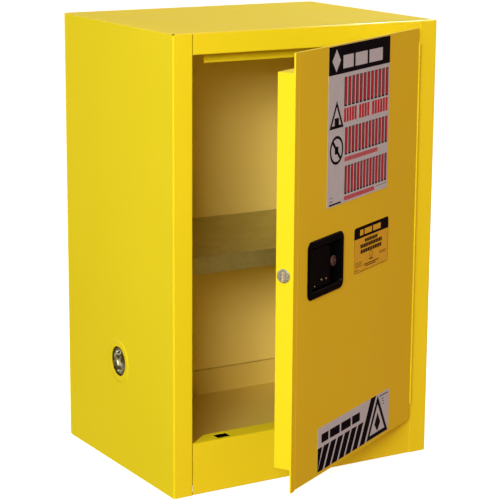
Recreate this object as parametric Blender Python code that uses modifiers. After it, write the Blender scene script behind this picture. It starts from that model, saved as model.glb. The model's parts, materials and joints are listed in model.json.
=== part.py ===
"""A compact flammable storage cabinet: double-walled sheet steel, with one door on a piano hinge.

Metres, +Z up, front towards -Y, origin on the floor under the middle of the cabinet.
The door and all it carries are modelled closed, round an empty on the hinge axis that swings them
ajar. In the door's own frame a distance from the hinge runs along -X and depth into it along +Y.
"""
import math

import bmesh
import bpy
from mathutils import Matrix, Vector

# The cabinet's overall size
WIDTH = 0.591
DEPTH = 0.457
HEIGHT = 0.889

# Sheet steel and how closely separate pieces lie
SHEET = 0.0012
BEND = 0.0022
GAP = 0.0003

# Front frame, as seen from outside
STILE = 0.0415
HEADER = 0.0408
LEDGE_TOP = 0.105
LEDGE_DEPTH = 0.0395
MITRE = 0.046
APRON_FLANGE = 0.015
STOP_DROP = 0.0202
JAMB_DEPTH = 0.038

# Double walls and the leak-proof sump
WALL = 0.0411
FLOOR_TOP = 0.054
SUMP_TOP = 0.108
SKIRT = 0.001
BASE_UNDER = 0.004

# Vents, at mid depth low on both sides
VENT_Z = 0.218
VENT_HOLE = 0.030
SLEEVE_OUTER = 0.0296
SLEEVE_INNER = 0.027
PLUG_RADIUS = 0.0266
EYE_UP = 0.0125

# Levelling feet
FOOT_X = 0.262
FOOT_Y = 0.1905
NOTCH = 0.076
BRACKET_Z = 0.018
BRACKET_SHEET = 0.0025
STEM = 0.005

# Shelf and its clips
SHELF_TOP = 0.4475
SHELF_LIP = 0.034
SHELF_FRONT = 0.082
SHELF_BACK = 0.411
SHELF_HALF = 0.250
CLIP_PITCH = 0.0635
CLIP_ROWS = range(-3, 7)
CLIP_SETS = (0.120, 0.372)
CLIP_WIDTH = 0.012
CLIP_SHEET = 0.0015

# Hinge
HINGE_X = 0.2503
HINGE_FORWARD = 0.004
DOOR_AJAR = math.radians(29.2)
HINGE_LOW = 0.1087
HINGE_HIGH = 0.8452
KNUCKLES = 20
KNUCKLE = 0.0033
PIN = 0.0017
LEAF = 0.030

# Door: an outer skin with a hemmed edge over a smaller inner pan
SKIN_NEAR = 0.0043
SKIN_FAR = 0.5085
SKIN_LOW = 0.0764
SKIN_HIGH = 0.8756
SKIN_PROUD = 0.002
HEM = 0.0032
PAN_NEAR = 0.0036
PAN_FAR = 0.4983
PAN_LOW = 0.1138
PAN_HIGH = 0.8395
PAN_DEPTH = 0.040

# Latch: a centre bolt and two upright bolts
LATCH_Z = 0.476
LATCH_IN = 0.023
ROD_AT = 0.428
CENTRE_TRAVEL = 0.0105
ROD_TRAVEL = 0.014
BOLT = 0.007
CENTRE_BOLT = (0.0042, 0.0090)
COLLAR = 0.013
COLLAR_NECK = 0.0112
SLOT_LENGTH = 0.029
SLOT_WIDTH = 0.022
SLOT_BEYOND = 0.002

# Paddle handle in a recessed dish
DISH_NEAR = 0.3175
DISH_FAR = 0.4565
DISH_LOW = 0.422
DISH_HIGH = 0.5306
BEZEL = 0.0145
BEZEL_THICK = 0.003
DISH_DEPTH = 0.0145
DISH_WALL = 0.002
PADDLE_AT = 0.437
PADDLE_IN = 0.0065
PADDLE_START = 0.0003
PADDLE_LENGTH = 0.073
PADDLE_TAIL = 0.0185
LOCK_AT = 0.352
LOCK_Z = 0.478
LOCK_RADIUS = 0.0108
LOCK_LENGTH = 0.0138

FRONT = -DEPTH / 2
BACK = DEPTH / 2
SIDE = WIDTH / 2
OPENING = SIDE - STILE
HEADER_UNDER = HEIGHT - HEADER
INNER = SIDE - WALL
INNER_BACK = BACK - WALL
CEILING = HEIGHT - WALL

for old in list(bpy.data.objects):
    bpy.data.objects.remove(old, do_unlink=True)

PARTS = bpy.data.collections.new("flammable_storage_cabinet")
CUTTERS = bpy.data.collections.new("cutters")
for group in (PARTS, CUTTERS):
    bpy.context.scene.collection.children.link(group)


def material(name, color, roughness, metallic=0.0):
    """A Principled material of one plain finish."""
    made = bpy.data.materials.new(name)
    made.use_nodes = True
    shader = made.node_tree.nodes["Principled BSDF"]
    shader.inputs["Base Color"].default_value = (*color, 1.0)
    shader.inputs["Roughness"].default_value = roughness
    shader.inputs["Metallic"].default_value = metallic
    return made


YELLOW = material("yellow_enamel", (0.78, 0.62, 0.02), 0.35)
GALVANISED = material("galvanised_steel", (0.46, 0.46, 0.43), 0.45, 1.0)
ZINC = material("zinc_plate", (0.62, 0.58, 0.46), 0.30, 1.0)
BLACK = material("black_paint", (0.02, 0.02, 0.022), 0.40)
BRONZE = material("lock_bronze", (0.45, 0.32, 0.20), 0.30, 1.0)
RUBBER = material("black_rubber", (0.03, 0.03, 0.03), 0.80)
LABEL = material("printed_label", (0.80, 0.78, 0.76), 0.45)


def empty(name, location, parent=None, turn=0.0):
    """An empty that carries moving pieces, on their joint's axis."""
    made = bpy.data.objects.new(name, None)
    made.location = location
    made.rotation_euler = (0.0, 0.0, turn)
    made.parent = parent
    PARTS.objects.link(made)
    return made


def make(name, mesh, finish=None, parent=None):
    """A part from a bmesh, or a hidden cutter when it has no finish."""
    data = bpy.data.meshes.new(name)
    mesh.to_mesh(data)
    mesh.free()
    part = bpy.data.objects.new(name, data)
    part.parent = parent
    if finish:
        data.materials.append(finish)
        PARTS.objects.link(part)
    else:
        CUTTERS.objects.link(part)
        part.hide_render = True
        part.display_type = 'WIRE'
    return part


def combine(part, other, operation='DIFFERENCE'):
    """Cut or join another object into a part."""
    boolean = part.modifiers.new(other.name, 'BOOLEAN')
    boolean.operation = operation
    boolean.solver = 'EXACT'
    boolean.object = other


def box_mesh(low, high):
    """A box between two corners."""
    mesh = bmesh.new()
    bmesh.ops.create_cube(mesh, size=1)
    size = [b - a for a, b in zip(low, high)]
    middle = [(a + b) / 2 for a, b in zip(low, high)]
    bmesh.ops.scale(mesh, vec=size, verts=mesh.verts)
    bmesh.ops.translate(mesh, vec=middle, verts=mesh.verts)
    return mesh


def round_edges(mesh, along, radius, steps=4):
    """Round a box's edges that run along one axis, 0 to 2 for X to Z."""
    edges = [e for e in mesh.edges
             if abs((e.verts[0].co - e.verts[1].co).normalized()[along]) > 0.999]
    bmesh.ops.bevel(mesh, geom=edges, offset=radius, segments=steps, profile=0.5, affect='EDGES')


def box(name, low, high, finish=None, parent=None, along=None, radius=0.0):
    """A box, with its edges along one axis rounded if asked."""
    mesh = box_mesh(low, high)
    if along is not None:
        round_edges(mesh, along, radius)
    return make(name, mesh, finish, parent)


def tray(name, low, high, missing, finish, parent=None, thick=SHEET, bend=BEND):
    """A box of bent sheet with one face missing, named by its outward direction."""
    mesh = box_mesh(low, high)
    mesh.normal_update()
    bmesh.ops.delete(mesh, geom=[f for f in mesh.faces if f.normal.dot(Vector(missing)) > 0.9],
                     context='FACES')
    part = make(name, mesh, finish, parent)
    fold(part, bend)
    thicken(part, thick)
    return part


def fold(part, bend):
    """Give a sheet's folds their bend radius."""
    bevel = part.modifiers.new("Bend", 'BEVEL')
    bevel.width = bend
    bevel.segments = 2
    bevel.limit_method = 'ANGLE'
    bevel.angle_limit = math.radians(40)


def thicken(part, thick):
    """Turn a surface into sheet, inwards from its outer face."""
    solidify = part.modifiers.new("Sheet", 'SOLIDIFY')
    solidify.thickness = thick
    solidify.offset = -1.0
    solidify.use_even_offset = True


def placed(a, b, along, axis):
    """A section's point: (y, z) on axis X, (z, x) on axis Y or (x, y) on axis Z."""
    return {'X': (along, a, b), 'Y': (b, along, a), 'Z': (a, b, along)}[axis]


def sheet(name, path, low, high, axis, finish, parent=None, thick=SHEET, bend=BEND):
    """Folded sheet: a section drawn along its outer face, with the outside on the right, extruded."""
    mesh = bmesh.new()
    corners = [mesh.verts.new(placed(a, b, low, axis)) for a, b in path]
    edges = [mesh.edges.new(pair) for pair in zip(corners, corners[1:])]
    grown = bmesh.ops.extrude_edge_only(mesh, edges=edges)["geom"]
    bmesh.ops.translate(mesh, vec=placed(0, 0, high - low, axis),
                        verts=[v for v in grown if isinstance(v, bmesh.types.BMVert)])
    mesh.normal_update()
    mesh.faces.ensure_lookup_table()
    ahead = corners[1].co - corners[0].co
    outside = ahead.cross(Vector(placed(0, 0, 1, axis)))
    first = next(f for f in mesh.faces if corners[0] in f.verts)
    if first.normal.dot(outside) < 0:
        bmesh.ops.reverse_faces(mesh, faces=mesh.faces)
    part = make(name, mesh, finish, parent)
    if bend:
        fold(part, bend)
    thicken(part, thick)
    return part


def rod_mesh(radius, start, end, sides=16):
    """A cylinder between two points."""
    start, end = Vector(start), Vector(end)
    mesh = bmesh.new()
    bmesh.ops.create_cone(mesh, cap_ends=True, segments=sides, radius1=radius, radius2=radius,
                          depth=(end - start).length)
    turn = (end - start).to_track_quat('Z', 'Y').to_matrix().to_4x4()
    bmesh.ops.transform(mesh, matrix=Matrix.Translation((start + end) / 2) @ turn, verts=mesh.verts)
    return mesh


def rod(name, radius, start, end, finish=None, parent=None, sides=16):
    """A cylinder between two points, shaded smooth."""
    part = make(name, rod_mesh(radius, start, end, sides), finish, parent)
    smooth(part)
    return part


def smooth(part):
    """Shade a round piece smooth but for its sharp edges."""
    part.data.shade_smooth()
    part.data.set_sharp_from_angle(angle=math.radians(35))


def turned(name, profile, location, direction, finish, parent=None, sides=24, ring=True):
    """A turned piece: (radius, height) down its outer side, spun about its own Z axis."""
    mesh = bmesh.new()
    points = [mesh.verts.new((radius, 0.0, height)) for radius, height in profile]
    for pair in zip(points, points[1:]):
        mesh.edges.new(pair)
    if ring:
        mesh.edges.new((points[-1], points[0]))
    part = make(name, mesh, finish, parent)
    part.location = location
    part.rotation_mode = 'QUATERNION'
    part.rotation_quaternion = Vector(direction).to_track_quat('Z', 'Y')
    spin = part.modifiers.new("Spin", 'SCREW')
    spin.steps = sides
    spin.render_steps = sides
    spin.use_merge_vertices = True
    spin.merge_threshold = 0.00001
    return part


def mirrored(path, side):
    """A path on the left as it is, or on the right with its outside kept outside."""
    return path if side < 0 else [(-x, y) for x, y in reversed(path)]


# ---- Cabinet shell ----

def outer_side(side, word):
    """A side wall whose front edge folds into the stile and its jamb, and back edge into a flange."""
    path = [(-SIDE + 0.015, BACK - SHEET - GAP), (-SIDE, BACK - SHEET - GAP), (-SIDE, FRONT),
            (-OPENING, FRONT), (-OPENING, FRONT + JAMB_DEPTH)]
    part = sheet("outer_side_" + word, mirrored(path, side), SKIRT, HEIGHT - SHEET - GAP, 'Z',
                 YELLOW)
    combine(part, rod("vent_hole_outer_" + word, VENT_HOLE, (side * (SIDE + 0.01), 0, VENT_Z),
                      (side * (SIDE - 0.01), 0, VENT_Z), sides=32))
    inner, outer = sorted((side * (OPENING - 0.003), side * (OPENING + SHEET + BEND)))
    combine(part, box("jamb_foot_cut_" + word, (inner, FRONT + SHEET * 2, -0.01),
                      (outer, FRONT + 0.06, 0.050)))
    return part


def strike_slot(part):
    """The slot in the left jamb that takes the centre bolt."""
    middle = FRONT - HINGE_FORWARD + LATCH_IN
    combine(part, box("jamb_slot", (-OPENING - 0.006, middle - 0.0095, LATCH_Z - 0.011),
                      (-OPENING + 0.006, middle + 0.0095, LATCH_Z + 0.011)))


def latch_slot(part, name, height):
    """The slot in the ledge or header flange that takes an upright bolt."""
    x = HINGE_X - ROD_AT - SLOT_BEYOND
    y = FRONT - HINGE_FORWARD + LATCH_IN
    combine(part, box(name, (x - SLOT_LENGTH / 2, y - SLOT_WIDTH / 2, height - 0.004),
                      (x + SLOT_LENGTH / 2, y + SLOT_WIDTH / 2, height + 0.004)))


def mitre_cut(part, name, side, low, high):
    """Trim one end of a flange at an angle, from just behind the front face."""
    ahead, behind = FRONT + SHEET * 2, FRONT + LEDGE_DEPTH * 1.2
    beyond = OPENING + 0.01
    mesh = bmesh.new()
    corners = [mesh.verts.new((side * x, y, low)) for x, y in
               ((OPENING - MITRE * 1.2, behind), (beyond, behind), (beyond, ahead), (OPENING, ahead))]
    grown = bmesh.ops.extrude_face_region(mesh, geom=[mesh.faces.new(corners)])["geom"]
    bmesh.ops.translate(mesh, vec=(0, 0, high - low),
                        verts=[v for v in grown if isinstance(v, bmesh.types.BMVert)])
    bmesh.ops.recalc_face_normals(mesh, faces=mesh.faces)
    combine(part, make(name, mesh))


def outer_top():
    """The top sheet, folded down into the header face, its flange and the door stop behind it."""
    path = [(BACK - SHEET - GAP, HEIGHT), (FRONT, HEIGHT), (FRONT, HEADER_UNDER),
            (FRONT + JAMB_DEPTH, HEADER_UNDER), (FRONT + JAMB_DEPTH, HEADER_UNDER - STOP_DROP)]
    part = sheet("outer_top", path, -SIDE, SIDE, 'X', YELLOW)
    for side, word in ((-1, "left"), (1, "right")):
        inner, outer = sorted((side * (OPENING - GAP), side * (SIDE + 0.01)))
        combine(part, box("header_end_" + word, (inner, FRONT - 0.01, 0.80),
                          (outer, FRONT + 0.06, HEIGHT - SHEET - GAP / 2)))
        mitre_cut(part, "header_mitre_" + word, side, 0.82, HEADER_UNDER + 0.004)
    latch_slot(part, "header_slot", HEADER_UNDER)


def front_apron():
    """The sill's front face, with the ledge behind it and a flange under it."""
    path = [(FRONT + LEDGE_DEPTH, LEDGE_TOP), (FRONT, LEDGE_TOP), (FRONT, SKIRT),
            (FRONT + APRON_FLANGE, SKIRT)]
    part = sheet("front_apron", path, -OPENING + GAP, OPENING - GAP, 'X', YELLOW)
    for side, word in ((-1, "left"), (1, "right")):
        mitre_cut(part, "ledge_mitre_" + word, side, LEDGE_TOP - 0.01, LEDGE_TOP + 0.01)
    latch_slot(part, "ledge_slot", LEDGE_TOP)


def outer_back():
    """The flat back sheet, over the side walls' flanges."""
    box("outer_back", (-SIDE, BACK - SHEET, SKIRT), (SIDE, BACK, HEIGHT), YELLOW, along=1, radius=0.002)


def base_pan():
    """The outer bottom, notched at the corners for the feet."""
    half = SIDE - SHEET - GAP * 1.5
    part = tray("base_pan", (-half, FRONT + APRON_FLANGE + 0.0015, BASE_UNDER),
                (half, BACK - SHEET - 0.003, 0.024), (0, 0, 1), YELLOW)
    for x in (-1, 1):
        for y in (-1, 1):
            corner = Vector((x * SIDE, y * BACK, 0))
            inward = Vector((x * (SIDE - NOTCH), y * (BACK - NOTCH), 0))
            low = [min(a, b) for a, b in zip(corner, inward)]
            high = [max(a, b) for a, b in zip(corner, inward)]
            low[2], high[2] = 0.0, 0.03
            combine(part, box(f"base_notch_{x}_{y}", low, high))


def inner_side(side, word):
    """An inner wall with flanges at both ends, slots for the shelf clips and a hole for the vent."""
    back = INNER_BACK - GAP
    path = [(-INNER - 0.015, FRONT + JAMB_DEPTH + 0.0008), (-INNER, FRONT + JAMB_DEPTH + 0.0008),
            (-INNER, back), (-INNER - 0.015, back)]
    part = sheet("inner_side_" + word, mirrored(path, side), FLOOR_TOP + 0.004, CEILING + SHEET, 'Z',
                 YELLOW)
    combine(part, rod("vent_hole_inner_" + word, VENT_HOLE, (side * (INNER + 0.01), 0, VENT_Z),
                      (side * (INNER - 0.01), 0, VENT_Z), sides=32))
    slots = bmesh.new()
    for y in CLIP_SETS:
        for row in CLIP_ROWS:
            bmesh.ops.create_cube(slots, size=1, matrix=clip_slot_matrix(side, y, row))
    combine(part, make("clip_slots_" + word, slots))


def clip_slot_matrix(side, depth, row):
    """Where one clip slot goes, and its size."""
    z = SHELF_TOP - SHELF_LIP - GAP - CLIP_SHEET / 2 + row * CLIP_PITCH
    size = Matrix.Diagonal((0.008, CLIP_WIDTH + 0.003, CLIP_SHEET + 0.003, 1.0))
    return Matrix.Translation((side * INNER, FRONT + depth, z)) @ size


def inner_shell():
    """The inner back and ceiling, and the sump pan that holds a spill."""
    box("inner_back", (-INNER - 0.003, INNER_BACK, FLOOR_TOP + 0.004),
        (INNER + 0.003, INNER_BACK + SHEET, CEILING + 0.003), YELLOW, along=1, radius=0.002)
    box("inner_top", (-INNER + GAP, FRONT + JAMB_DEPTH + 0.0025, CEILING),
        (INNER - GAP, INNER_BACK - GAP, CEILING + SHEET), YELLOW, along=2, radius=0.002)
    half = INNER - GAP
    part = tray("sump_pan", (-half, FRONT + JAMB_DEPTH + 0.0006, FLOOR_TOP - SHEET),
                (half, INNER_BACK - GAP * 2, SUMP_TOP), (0, 0, 1), YELLOW)
    combine(part, box("sump_front_cut", (-half - 0.01, FRONT + 0.02, LEDGE_TOP - SHEET - GAP),
                      (half + 0.01, FRONT + JAMB_DEPTH + 0.0026, SUMP_TOP + 0.01)))


# ---- Vents, ground connection and feet ----

def vent(side, word):
    """A sleeve through the double wall, its flame arrester and the dished plug that closes it."""
    out = (side, 0, 0)
    inner_end = INNER - 0.0002
    sleeve = [(SLEEVE_OUTER, SIDE - 0.0005), (SLEEVE_OUTER, inner_end), (SLEEVE_OUTER + 0.004, inner_end),
              (SLEEVE_OUTER + 0.004, inner_end - 0.0015), (SLEEVE_INNER, inner_end - 0.0015),
              (SLEEVE_INNER, SIDE - 0.0005)]
    turned("vent_sleeve_" + word, sleeve, (0, 0, VENT_Z), out, ZINC, sides=32)
    screen = [(0.0, INNER + 0.008), (PLUG_RADIUS, INNER + 0.008), (PLUG_RADIUS, INNER + 0.003),
              (0.0, INNER + 0.003)]
    turned("flame_arrester_" + word, screen, (0, 0, VENT_Z), out, GALVANISED, sides=32, ring=False)
    rim, floor = SIDE - 0.0015, SIDE - 0.016
    cup = [(0.0, floor), (0.0135, floor + 0.002), (0.0212, floor + 0.006), (0.0245, floor + 0.012),
           (0.0245, rim), (PLUG_RADIUS, rim), (PLUG_RADIUS, floor - 0.002), (0.0, floor - 0.002)]
    plug = turned("vent_plug_" + word, cup, (0, 0, VENT_Z), out, ZINC, sides=32, ring=False)
    inner, outer = sorted((side * (floor - 0.001), side * (floor + 0.0107)))
    eye = VENT_Z + EYE_UP
    combine(plug, box("plug_eye_" + word, (inner, -0.0013, eye - 0.0055),
                      (outer, 0.0013, eye + 0.0055)), 'UNION')
    hole = side * (floor + 0.0052)
    combine(plug, rod("eye_hole_" + word, 0.0029, (hole, -0.01, eye), (hole, 0.01, eye)))


def ground_connection():
    """The grounding screw through the right side, with its nut inside."""
    y, z = BACK - 0.060, 0.085
    hole = bpy.data.objects["outer_side_right"]
    combine(hole, rod("ground_hole", 0.0046, (SIDE - 0.01, y, z), (SIDE + 0.01, y, z)))
    screw = [(0.0, 0.0062), (0.0045, 0.0062), (0.0065, 0.0045), (0.0065, GAP), (0.004, GAP),
             (0.004, -0.018), (0.0, -0.018)]
    turned("ground_screw", screw, (SIDE, y, z), (1, 0, 0), ZINC, sides=16, ring=False)
    bore = 0.0042 / math.cos(math.pi / 6)
    nut = [(0.0075, -SHEET - GAP), (0.0075, -SHEET - 0.007), (bore, -SHEET - 0.007), (bore, -SHEET - GAP)]
    turned("ground_nut", nut, (SIDE, y, z), (1, 0, 0), ZINC, sides=6)


def foot(x, y, word):
    """A levelling foot, the bracket that carries it and its nut."""
    outer = x * (SIDE - SHEET - 0.0005)
    inner = x * (FOOT_X - 0.030)
    path = [(BRACKET_Z, inner), (BRACKET_Z, outer), (BRACKET_Z + 0.026, outer)]
    if x > 0:
        path.reverse()
    middle = y * FOOT_Y
    bracket = sheet("foot_bracket_" + word, path, middle - 0.029, middle + 0.029, 'Y', GALVANISED,
                    thick=BRACKET_SHEET, bend=0.004)
    combine(bracket, rod("bracket_hole_" + word, STEM + 0.0006, (x * FOOT_X, middle, 0.0),
                         (x * FOOT_X, middle, 0.04)))
    low = BRACKET_Z + BRACKET_SHEET + GAP
    bore = (STEM + 0.0002) / math.cos(math.pi / 6)
    nut = [(0.0098, low + 0.008), (0.0098, low), (bore, low), (bore, low + 0.008)]
    turned("foot_nut_" + word, nut, (x * FOOT_X, middle, 0), (0, 0, 1), ZINC, sides=6)
    profile = [(0.0, 0.046), (STEM - 0.001, 0.046), (STEM, 0.045), (STEM, 0.0135), (0.008, 0.0135),
               (0.008, 0.009), (0.017, 0.007), (0.019, 0.0045), (0.019, 0.0), (0.0, 0.0)]
    turned("foot_" + word, profile, (x * FOOT_X, middle, 0), (0, 0, 1), RUBBER, sides=16, ring=False)


# ---- Shelf ----

def shelf():
    """The loose shelf, a shallow upturned tray, and the clips it rests on."""
    tray("shelf", (-SHELF_HALF, FRONT + SHELF_FRONT, SHELF_TOP - SHELF_LIP),
         (SHELF_HALF, FRONT + SHELF_BACK, SHELF_TOP), (0, 0, -1), GALVANISED)
    rest = SHELF_TOP - SHELF_LIP - GAP
    behind = INNER + SHEET + 0.0025
    for side, word in ((-1, "left"), (1, "right")):
        for depth, end in zip(CLIP_SETS, ("front", "back")):
            path = [(rest, side * (INNER - 0.014)), (rest, side * behind), (rest + 0.012, side * behind)]
            if side < 0:
                path.reverse()
            y = FRONT + depth
            sheet(f"shelf_clip_{end}_{word}", path, y - CLIP_WIDTH / 2, y + CLIP_WIDTH / 2,
                  'Y', GALVANISED, thick=CLIP_SHEET, bend=0.0)


# ---- Hinge ----

def knuckle_gaps(name, first, parent):
    """A cutter that takes away every second knuckle."""
    pitch = (HINGE_HIGH - HINGE_LOW) / KNUCKLES
    mesh = bmesh.new()
    for index in range(first, KNUCKLES, 2):
        low = HINGE_LOW + index * pitch - GAP / 2
        high = low + pitch + GAP
        low -= 0.01 if index == 0 else 0.0
        high += 0.01 if index == KNUCKLES - 1 else 0.0
        size = Matrix.Diagonal((0.014, 0.0122, high - low, 1.0))
        place = Matrix.Translation((0, -0.0019, (low + high) / 2))
        bmesh.ops.create_cube(mesh, size=1, matrix=place @ size)
    return make(name, mesh, None, parent)


def leaf_path(side):
    """A leaf's section: flat against its wall, then rolled round the pin."""
    turn = math.radians(285)
    steps = 12
    roll = [(KNUCKLE * math.cos(a), KNUCKLE * math.sin(a))
            for a in (-turn + turn * i / steps for i in range(steps + 1))]
    path = roll + [(KNUCKLE, LEAF)]
    return path if side > 0 else [(-x, y) for x, y in reversed(path)]


def hinge(frame_axis, door):
    """The piano hinge: a leaf on the jamb, a leaf on the door and the pin between them."""
    for name, side, first, parent in (("hinge_frame_leaf", 1, 1, frame_axis),
                                      ("hinge_door_leaf", -1, 0, door)):
        leaf = sheet(name, leaf_path(side), HINGE_LOW, HINGE_HIGH, 'Z', YELLOW, parent, bend=0.0)
        combine(leaf, knuckle_gaps(name + "_gaps", first, parent))
    rod("hinge_pin", PIN, (0, 0, HINGE_LOW - 0.001), (0, 0, HINGE_HIGH - 0.001), ZINC, frame_axis, sides=10)


# ---- Door ----

def door_shell(door):
    """The skin and the inner pan, with their holes for the handle and bolts."""
    skin = tray("door_skin", (-SKIN_FAR, -SKIN_PROUD, SKIN_LOW),
                (-SKIN_NEAR, HEM - SKIN_PROUD, SKIN_HIGH), (0, 1, 0), YELLOW, door, bend=0.001)
    hem = SHEET - SKIN_PROUD + 0.0001
    combine(skin, box("hinge_side_hem", (-SKIN_NEAR - SHEET * 2, hem, SKIN_LOW - 0.01),
                      (-SKIN_NEAR + 0.01, 0.01, SKIN_HIGH + 0.01), parent=door))
    edge = BEZEL - DISH_WALL - GAP * 2
    combine(skin, box("handle_cutout", (-DISH_FAR + edge, -0.01, DISH_LOW + edge),
                      (-DISH_NEAR - edge, 0.004, DISH_HIGH - edge), parent=door))
    pan = tray("door_inner_pan", (-PAN_FAR, SHEET - SKIN_PROUD + 0.0004, PAN_LOW),
               (-PAN_NEAR, PAN_DEPTH, PAN_HIGH), (0, -1, 0), YELLOW, door)
    combine(pan, rod("collar_hole", COLLAR_NECK + GAP, (-PAN_FAR - 0.01, LATCH_IN, LATCH_Z),
                     (-PAN_FAR + 0.01, LATCH_IN, LATCH_Z), parent=door))
    for word, z in (("upper", PAN_HIGH), ("lower", PAN_LOW)):
        combine(pan, rod("bush_hole_" + word, 0.0098, (-ROD_AT, LATCH_IN, z - 0.01),
                         (-ROD_AT, LATCH_IN, z + 0.01), parent=door))


def labels(door):
    """Three thin printed plates on the skin."""
    back = -SKIN_PROUD - GAP
    for name, near, far, low, high, radius in (
            ("upper_label", 0.136, 0.386, 0.581, 0.873, 0.003),
            ("side_label", 0.126, 0.272, 0.4345, 0.523, 0.006),
            ("lower_label", 0.104, 0.4065, 0.084, 0.169, 0.004)):
        box(name, (-far, back - 0.0003, low), (-near, back, high), LABEL, door, along=1, radius=radius)


def handle_dish(door):
    """The dish: a bezel on the skin round a drafted pocket, with openings for tail and lock."""
    bezel_back = -SKIN_PROUD - GAP
    dish = box("handle_dish", (-DISH_FAR, bezel_back - BEZEL_THICK, DISH_LOW),
               (-DISH_NEAR, bezel_back, DISH_HIGH), BLACK, door, along=1, radius=0.013)
    edge = BEZEL - DISH_WALL
    combine(dish, box("dish_cup", (-DISH_FAR + edge, bezel_back - 0.001, DISH_LOW + edge),
                      (-DISH_NEAR - edge, DISH_DEPTH, DISH_HIGH - edge), parent=door), 'UNION')
    combine(dish, box("dish_pocket", (-DISH_FAR + BEZEL, -0.02, DISH_LOW + BEZEL),
                      (-DISH_NEAR - BEZEL, DISH_DEPTH - DISH_WALL, DISH_HIGH - BEZEL), parent=door,
                      along=1, radius=0.004))
    combine(dish, box("tail_slot", (-PADDLE_AT - 0.0045, DISH_DEPTH - 0.006, LATCH_Z - 0.006),
                      (-PADDLE_AT + 0.018, DISH_DEPTH + 0.006, LATCH_Z + 0.006), parent=door))
    combine(dish, rod("plug_hole", 0.0072, (-LOCK_AT, DISH_DEPTH - 0.006, LOCK_Z),
                      (-LOCK_AT, DISH_DEPTH + 0.006, LOCK_Z), parent=door))


def paddle(door):
    """The paddle on its upright pin, with the tail that draws the bolts, and its spring."""
    axis = empty("paddle_axis", (-PADDLE_AT, PADDLE_IN, LATCH_Z), door)
    face, back = -0.0077, -0.0052
    half = 0.0365
    plate = box("paddle", (PADDLE_START, face, -half), (PADDLE_LENGTH, back, half), BLACK, axis,
                along=1, radius=0.004)
    combine(plate, box("paddle_lip", (PADDLE_LENGTH - 0.0025, face + 0.0005, -half + 0.008),
                       (PADDLE_LENGTH - 0.0002, 0.003, half - 0.010), parent=axis), 'UNION')
    combine(plate, box("paddle_ear", (-0.0008, back - 0.0005, -0.018), (0.0034, 0.0, half - 0.004),
                       parent=axis), 'UNION')
    combine(plate, rod("paddle_barrel", 0.0036, (0, 0, -0.018), (0, 0, half - 0.004), parent=axis), 'UNION')
    combine(plate, box("paddle_tail", (-0.0025, -0.001, -0.004), (0.0025, PADDLE_TAIL, 0.004), parent=axis),
            'UNION')
    combine(plate, rod("paddle_bore", 0.0019, (0, 0, -0.03), (0, 0, half + 0.01), parent=axis, sides=12))
    reach = (DISH_HIGH - DISH_LOW) / 2 - BEZEL - GAP * 3
    rod("paddle_pin", 0.0015, (-PADDLE_AT, PADDLE_IN, LATCH_Z - reach),
        (-PADDLE_AT, PADDLE_IN, LATCH_Z + reach), ZINC, door, sides=12)
    coil("paddle_spring", 0.0032, 0.0005, 6, LATCH_Z - 0.035, LATCH_Z - 0.021,
         (-PADDLE_AT, PADDLE_IN), door)


def coil(name, radius, wire, turns, low, high, centre, parent):
    """A coil spring of round wire standing on Z."""
    steps = 12
    curve = bpy.data.curves.new(name, 'CURVE')
    curve.dimensions = '3D'
    curve.bevel_depth = wire
    curve.bevel_resolution = 1
    curve.use_fill_caps = True
    line = curve.splines.new('POLY')
    line.points.add(turns * steps)
    for i, point in enumerate(line.points):
        angle = 2 * math.pi * i / steps
        z = low + (high - low) * i / (turns * steps)
        point.co = (centre[0] + radius * math.cos(angle), centre[1] + radius * math.sin(angle), z, 1.0)
    made = bpy.data.objects.new(name, curve)
    made.parent = parent
    curve.materials.append(ZINC)
    PARTS.objects.link(made)


def lock(door):
    """The lock: a cylinder body on the dish's floor, and the plug with its cam behind."""
    floor = DISH_DEPTH - DISH_WALL - GAP
    body = [(LOCK_RADIUS - 0.001, LOCK_LENGTH), (LOCK_RADIUS, LOCK_LENGTH - 0.001), (LOCK_RADIUS, 0.0),
            (0.0072, 0.0), (0.0072, LOCK_LENGTH)]
    turned("lock_body", body, (-LOCK_AT, floor, LOCK_Z), (0, -1, 0), BRONZE, door)
    axis = empty("lock_axis", (-LOCK_AT, floor, LOCK_Z), door)
    face = -LOCK_LENGTH - 0.0004
    plug = rod("lock_plug", 0.0069, (0, face, 0), (0, 0.0062, 0), BRONZE, axis, sides=20)
    combine(plug, box("key_slot", (-0.0008, face - 0.001, -0.0042), (0.0008, face + 0.006, 0.0042),
                      parent=axis))
    box("lock_cam", (-0.0045, 0.0065, -0.0045), (0.0045, 0.0085, 0.019), ZINC, axis, along=1, radius=0.003)


# ---- Latch ----

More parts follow.
